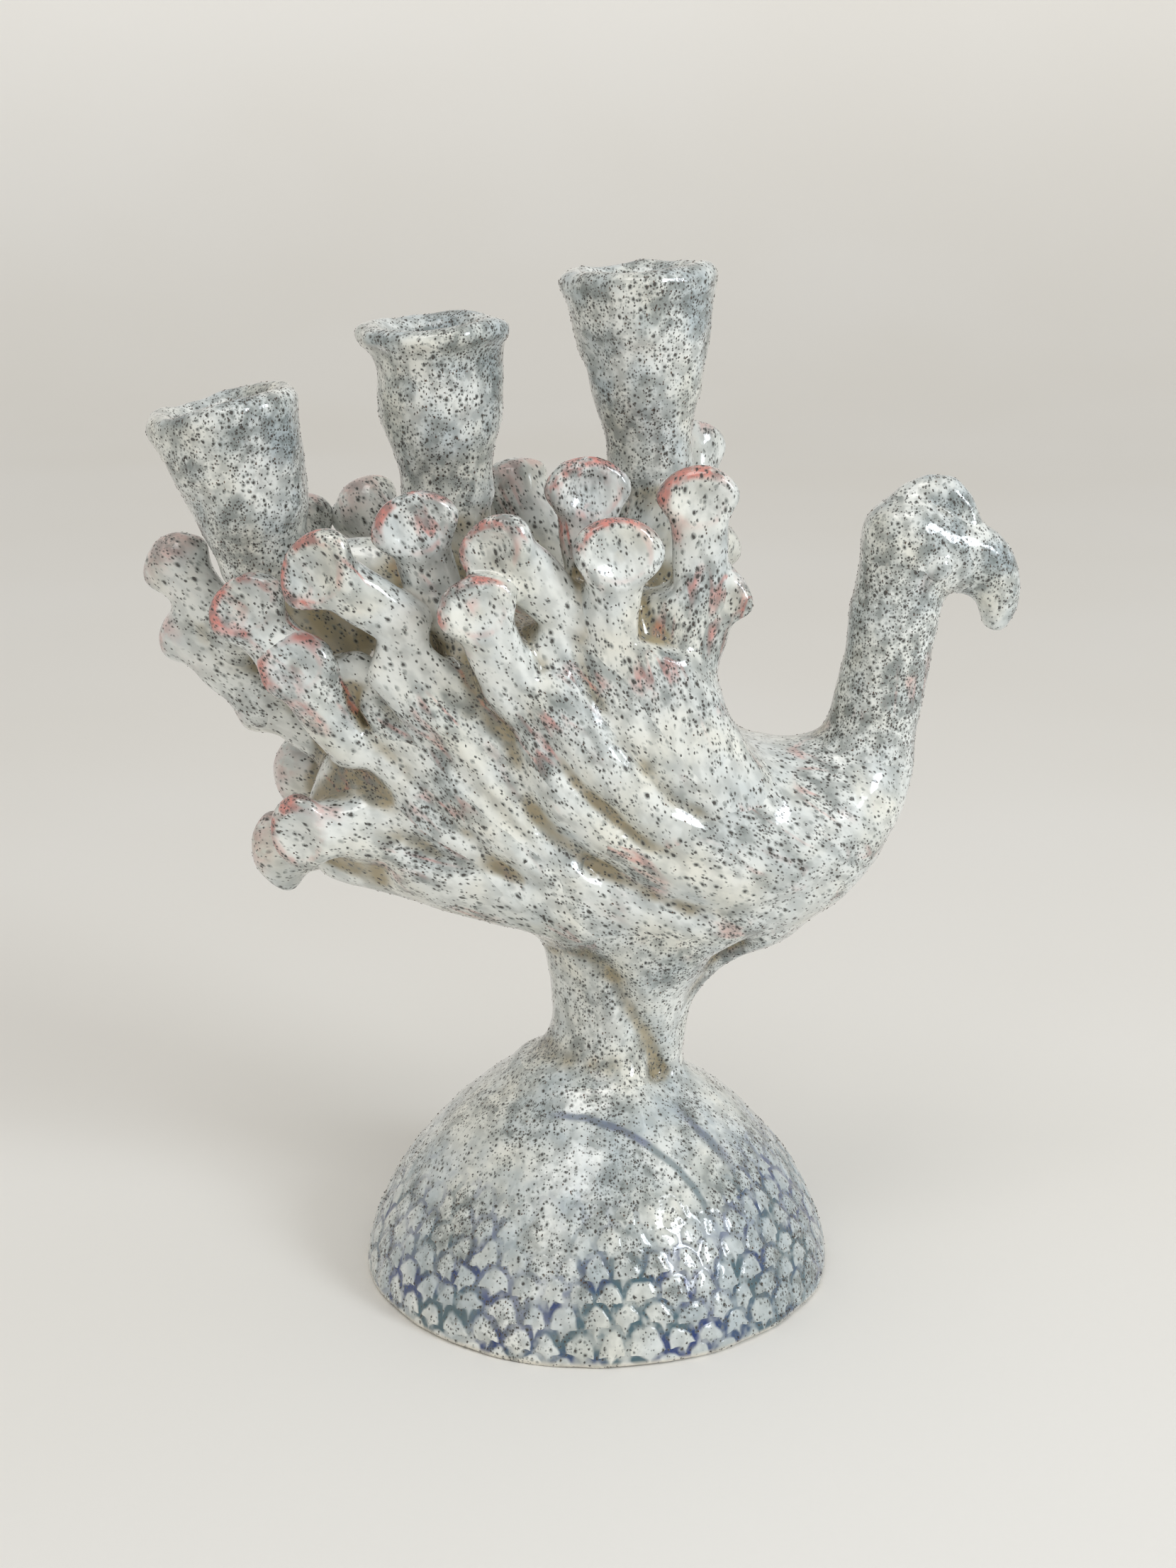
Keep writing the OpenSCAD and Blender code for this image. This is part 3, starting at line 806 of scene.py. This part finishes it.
def painted_foot(b, place, paint):
    """Cobalt scales on the foot, dark round the rim and thinning out upwards, with two
    swept strokes over its shoulder and a rim left bare."""
    x, y, z = b.split(place)
    lines = foot_scales(b, place, 1.9 * MM)
    patches = b.noise(place, 24 * MM, 2.0).rise(0.36, 0.62)
    low = 1 - z.rise(3 * MM, 30 * MM)
    right = x.rise(10 * MM, 50 * MM) * (1 - z.rise(30 * MM, 52 * MM)) * 0.65
    strength = (low * 0.95 + patches * (1 - z.rise(22 * MM, 46 * MM)) * 0.8 + right).clamp()
    paint = b.mix(right, paint, colour("blue_grey"))
    broken = b.noise(place, 5 * MM, 2.0).rise(0.36, 0.56)
    ink = b.mix(b.noise(place, 17 * MM, 1.0).rise(0.4, 0.6), colour("cobalt"), colour("teal"))
    paint = b.mix(patches * 0.25, paint, colour("blue_grey"))
    paint = b.mix(lines * strength * (0.35 + 0.65 * broken), paint, ink)
    for middle_x, middle_z, radius, start, end in SWEEPS:
        ring = ((x - middle_x) ** 2.0 + (z - middle_z) ** 2.0) ** 0.5
        stroke = 1 - abs(ring - radius + b.noise(place, 9 * MM) * (1.6 * MM)).rise(0.3 * MM, 1.1 * MM)
        stroke = stroke * x.rise(start, start + 9 * MM) * (1 - x.rise(end - 9 * MM, end))
        paint = b.mix(stroke * (-1 * y).rise(0, 5 * MM) * 0.7, paint, ink)
    edge = 1 - z.rise(0.8 * MM, 2.2 * MM)
    paint = b.mix(edge * 0.8, paint, colour("bare_clay"))
    return paint, lines * strength


def iron_finish():
    material, b = start_finish("iron_speck")
    place = b.node("ShaderNodeTexCoord", None, None, "Object")
    worn = b.noise(place, 1.5 * MM, 2.0)
    rust = (0.1, 0.055, 0.03, 1.0)
    paint = b.mix(worn.rise(0.4, 0.65), colour("iron"), rust)
    close_finish(b, paint, 0.18 + 0.2 * worn, worn * (0.1 * MM))
    return material


# ---- specks that stand out of the glaze ----

def speck_tree(finish):
    """A node tree that scatters squashed grains of iron over a skin."""
    tree = bpy.data.node_groups.new("iron_scatter", "GeometryNodeTree")
    face = tree.interface
    face.new_socket("Skin", in_out="INPUT", socket_type="NodeSocketGeometry")
    sizes = {"Specks per square metre": 1e5, "Speck radius": SPECK_RADIUS}
    for name, value in sizes.items():
        face.new_socket(name, in_out="INPUT", socket_type="NodeSocketFloat").default_value = value
    face.new_socket("Seed", in_out="INPUT", socket_type="NodeSocketInt")
    face.new_socket("Specks", in_out="OUTPUT", socket_type="NodeSocketGeometry")
    b = Bench(tree)
    given = b.node("NodeGroupInput")
    density, radius, seed = (given.out(n) for n in (*sizes, "Seed"))

    def named(name, kind="FLOAT"):
        return b.node("GeometryNodeInputNamedAttribute", {"data_type": kind}, {"Name": name})

    place = b.node("GeometryNodeInputPosition")
    clouds = iron_clouds(b, place, named("grain", "FLOAT_VECTOR"))
    share = (clouds * 1.1 + named("iron") * 0.5 - 0.12).clamp() * named("outer").over(0.5)
    spread = b.node("GeometryNodeDistributePointsOnFaces", None, {
        "Mesh": given, "Density": density * share, "Seed": seed})
    grain = b.node("GeometryNodeMeshIcoSphere", None, {"Radius": 1.0, "Subdivisions": 1})
    turned = b.node("FunctionNodeAlignRotationToVector", {"axis": "X", "pivot_axis": "Z"}, {
        "Rotation": spread.out("Rotation"), "Vector": named("run", "FLOAT_VECTOR")})
    proportions = b.node("FunctionNodeRandomValue", {"data_type": "FLOAT_VECTOR"}, {
        0: (0.7, 0.5, 0.3), 1: (1.7, 1.05, 0.6), "Seed": seed})
    placed = b.node("GeometryNodeInstanceOnPoints", None, {
        "Points": spread, "Instance": grain, "Rotation": turned,
        "Scale": b.scaled(proportions, radius)})
    solid = b.node("GeometryNodeRealizeInstances", None, {0: placed})
    smooth = b.node("GeometryNodeSetShadeSmooth", None, {0: solid})
    done = b.node("GeometryNodeSetMaterial", None, {0: smooth, "Material": finish})
    b.node("NodeGroupOutput", None, {0: done})
    return tree


def run_tree(source, tree, name, **values):
    """The plain mesh that a node tree makes of an object's mesh, with its named inputs."""
    modifier = source.modifiers.new("making", "NODES")
    modifier.node_group = tree
    for item in tree.interface.items_tree:
        if item.in_out == "INPUT" and item.name in values:
            modifier[item.identifier] = values[item.name]
    bpy.context.view_layer.update()
    evaluated = source.evaluated_get(bpy.context.evaluated_depsgraph_get())
    mesh = bpy.data.meshes.new_from_object(evaluated)
    mesh.name = name
    source.modifiers.remove(modifier)
    return mesh


def joined_skin(name, parts):
    """One mesh of several pieces' skins, for scattering over."""
    start, points, quads, facts = 0, [], [], {k: [] for k in ("grain", "run", "outer", "iron")}
    for made in parts:
        points.append(made["points"])
        quads.append(made["quads"].astype(np.int32) + start)
        start += len(made["points"])
        facts["grain"].append(made["grain"])
        facts["run"].append(made["run"])
        facts["outer"].append(made["outer"].astype(np.float32))
        facts["iron"].append(made["tone"][:, 2])
    mesh = bpy.data.meshes.new(name)
    points, quads = np.concatenate(points), np.concatenate(quads)
    mesh.vertices.add(len(points))
    mesh.vertices.foreach_set("co", points.ravel())
    mesh.loops.add(quads.size)
    mesh.loops.foreach_set("vertex_index", quads.ravel())
    mesh.polygons.add(len(quads))
    mesh.polygons.foreach_set("loop_start", np.arange(0, quads.size, 4, dtype=np.int32))
    mesh.update(calc_edges=True)
    for key, values in facts.items():
        store(mesh, key, np.concatenate(values))
    return new_object(name, mesh)


def relief_tree():
    """A node tree that presses the painted scales a little into the foot."""
    tree = bpy.data.node_groups.new("pressed_scales", "GeometryNodeTree")
    face = tree.interface
    face.new_socket("Foot", in_out="INPUT", socket_type="NodeSocketGeometry")
    face.new_socket("Depth", in_out="INPUT", socket_type="NodeSocketFloat").default_value = 0
    face.new_socket("Line width", in_out="INPUT", socket_type="NodeSocketFloat").default_value = 0
    face.new_socket("Pressed foot", in_out="OUTPUT", socket_type="NodeSocketGeometry")
    b = Bench(tree)
    given = b.node("NodeGroupInput")
    place = b.node("GeometryNodeInputPosition")
    normal = b.node("GeometryNodeInputNormal")
    z = b.split(place)[2]
    outward = b.node("ShaderNodeVectorMath", {"operation": "DOT_PRODUCT"}, {0: place, 1: normal}, 1)
    fade = (1 - z.rise(24 * MM, 42 * MM)) * z.rise(1.5 * MM, 4 * MM) * outward.over(0.0)
    pressed = foot_scales(b, place, given.out("Line width")) * fade * given.out("Depth")
    moved = b.node("GeometryNodeSetPosition", None, {
        "Geometry": given, "Offset": b.scaled(normal, -1 * pressed)})
    b.node("NodeGroupOutput", None, {0: moved})
    return tree


# ---- floor, light and camera ----

def floor():
    """A pale sheet that lies flat round the piece and curves up far behind it, with a painted glow that
    grows stronger as it rises.
    """
    rows = [(r, 0.0) for r in np.linspace(0.02, 1.5, 12)]
    rows += [(1.5 + 0.9 * math.sin(a), 0.9 - 0.9 * math.cos(a)) for a in np.linspace(0.12, 1.4, 14)]
    sides = 96
    points = [(0.0, 0.0, 0.0)]
    for r, z in rows:
        points += [(r * math.cos(math.tau * k / sides), r * math.sin(math.tau * k / sides), z)
                   for k in range(sides)]
    faces = [(0, 1 + k, 1 + (k + 1) % sides) for k in range(sides)]
    for j in range(len(rows) - 1):
        low, high = 1 + j * sides, 1 + (j + 1) * sides
        faces += [(low + k, high + k, high + (k + 1) % sides, low + (k + 1) % sides)
                  for k in range(sides)]
    mesh = bpy.data.meshes.new("floor")
    mesh.from_pydata(points, [], faces)
    mesh.shade_smooth()
    material, b = start_finish("pale_paper")
    place = b.node("ShaderNodeTexCoord", None, None, "Object")
    tint = b.noise(place, 0.35, 2.0).rise(0.3, 0.7)
    paint = b.mix(tint, (0.80, 0.785, 0.75, 1.0), (0.82, 0.81, 0.785, 1.0))
    height = b.split(place)[2]
    # Painted glow: the sheet gives off light of its own, more the higher it curves up, in place of lamp
    # light that barely reaches the upper wall.
    painted_glow = b.mix(height.rise(-0.1, 0.7) * 0.25, (0, 0, 0, 1), (1.0, 0.99, 0.96, 1.0))
    close_finish(b, paint, 0.75 + 0.1 * tint, b.noise(place, 1.6 * MM, 2.0) * (0.04 * MM),
                 coat=0.0, **{"Emission Color": painted_glow, "Emission Strength": 1.0})
    mesh.materials.append(material)
    made = new_object("floor", mesh)
    made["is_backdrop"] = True


def softbox(name, at, aim, size, power, tint):
    light = bpy.data.lights.new(name, "AREA")
    light.shape = "RECTANGLE"
    light.size, light.size_y = size
    light.energy = power
    light.color = tint
    made = bpy.data.objects.new(name, light)
    bpy.context.scene.collection.objects.link(made)
    made.location = at
    way = Vector(aim) - Vector(at)
    made.rotation_euler = way.to_track_quat("-Z", "Y").to_euler()


def studio():
    world = bpy.data.worlds.new("soft_room")
    bpy.context.scene.world = world
    world.use_nodes = True
    sky = world.node_tree.nodes["Background"]
    sky.inputs["Color"].default_value = (1.0, 0.975, 0.93, 1.0)
    sky.inputs["Strength"].default_value = 0.66
    softbox("window", (1.0, -0.7, 0.8), (0, 0, 0.13), (0.34, 0.46), 7.5, (0.88, 0.94, 1.0))
    softbox("ceiling", (-0.2, -0.5, 1.25), (0, 0, 0.1), (0.5, 0.35), 2.0, (1.0, 0.98, 0.95))


def camera():
    view = bpy.data.cameras.new("camera")
    view.sensor_width = 36.0
    view.lens = LENS
    view.clip_start = 0.01
    made = bpy.data.objects.new("camera", view)
    bpy.context.scene.collection.objects.link(made)
    made.location = (-0.0025, -0.593, 0.316)
    made.rotation_euler = (math.radians(90 - 16.75), 0, 0)
    bpy.context.scene.camera = made


# ---- putting it together ----

def build_pieces(clay, finishes):
    """Every piece of clay as its own object, glazed, and what the scatter needs."""
    skins = {"foot": [], "bird": [], "cups": []}
    pressed = relief_tree()
    for i, lump in enumerate(clay.lumps):
        made = clay.piece(i)
        mesh = make_mesh(lump.name, made)
        piece = new_object(lump.name + "_clay", mesh)
        if lump.kind == "foot":
            piece.data = run_tree(piece, pressed, lump.name, Depth=0.35 * MM,
                                  **{"Line width": 2.4 * MM})
        set_normals(piece.data)
        piece.data.materials.clear()
        piece.data.materials.append(finishes[lump.finish])
        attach(piece, "root")
        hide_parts(lump.name)
        skins[{"foot": "foot", "cup": "cups"}.get(lump.kind, "bird")].append(made)
    return skins


def raise_specks(skins, finish):
    tree = speck_tree(finish)
    for seed, (group, parts) in enumerate(skins.items()):
        source = joined_skin(group + "_skin", parts)
        mesh = run_tree(source, tree, "iron_specks_" + group, Seed=seed,
                        **{"Specks per square metre": RAISED_SPECKS[group] * 1e4,
                           "Speck radius": SPECK_RADIUS})
        bpy.data.objects.remove(source)
        specks = new_object("iron_specks_" + group, mesh)
        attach(specks, "root")


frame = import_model()
bpy.context.scene.view_settings.view_transform = "Standard"
studio()
camera()
floor()
finishes = {name: glaze(name) for name in (
    "body_glaze", "head_glaze", "eye_glaze", "branch_glaze", "cup_glaze", "feather_glaze")}
finishes["foot_glaze"] = glaze("foot_glaze", painted_foot)
raise_specks(build_pieces(Clay(frame), finishes), iron_finish())
bpy.context.view_layer.update()
